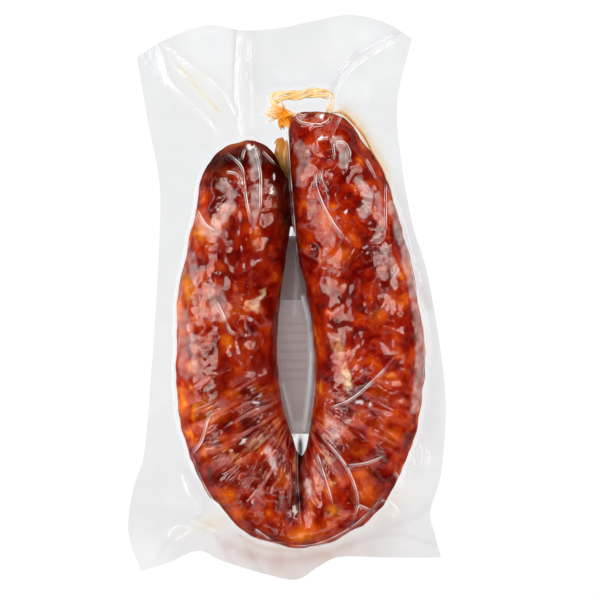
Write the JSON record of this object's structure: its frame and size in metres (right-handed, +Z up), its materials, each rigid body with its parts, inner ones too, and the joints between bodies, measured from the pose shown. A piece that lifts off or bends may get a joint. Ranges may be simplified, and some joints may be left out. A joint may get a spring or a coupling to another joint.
{
  "type": "vacuum-packed horseshoe sausage",
  "caption": "Cured sausage bent into a tight horseshoe, its tied ends together, sealed under vacuum in a clear film bag with a wavy flat rim and a paper label at the back.",
  "frame": {"origin": "on the surface it lies on, under the middle of the bag's outline", "axes": "+Z up towards the shown side, +Y along the bag towards the sausage's tied ends, +X to the right as the picture shows it"},
  "size_m": [0.1081, 0.1925, 0.0316],
  "materials": {
    "cured_meat": "coarse cured meat in a natural casing",
    "film": "clear, glossy, wrinkled",
    "twine": "twisted cotton stained by paprika fat",
    "label_paper": "printed, unmarked"
  },
  "bodies": {
    "root": {"vacuum_bag": "cured_meat", "label": "label_paper"}
  },
  "joints": []
}
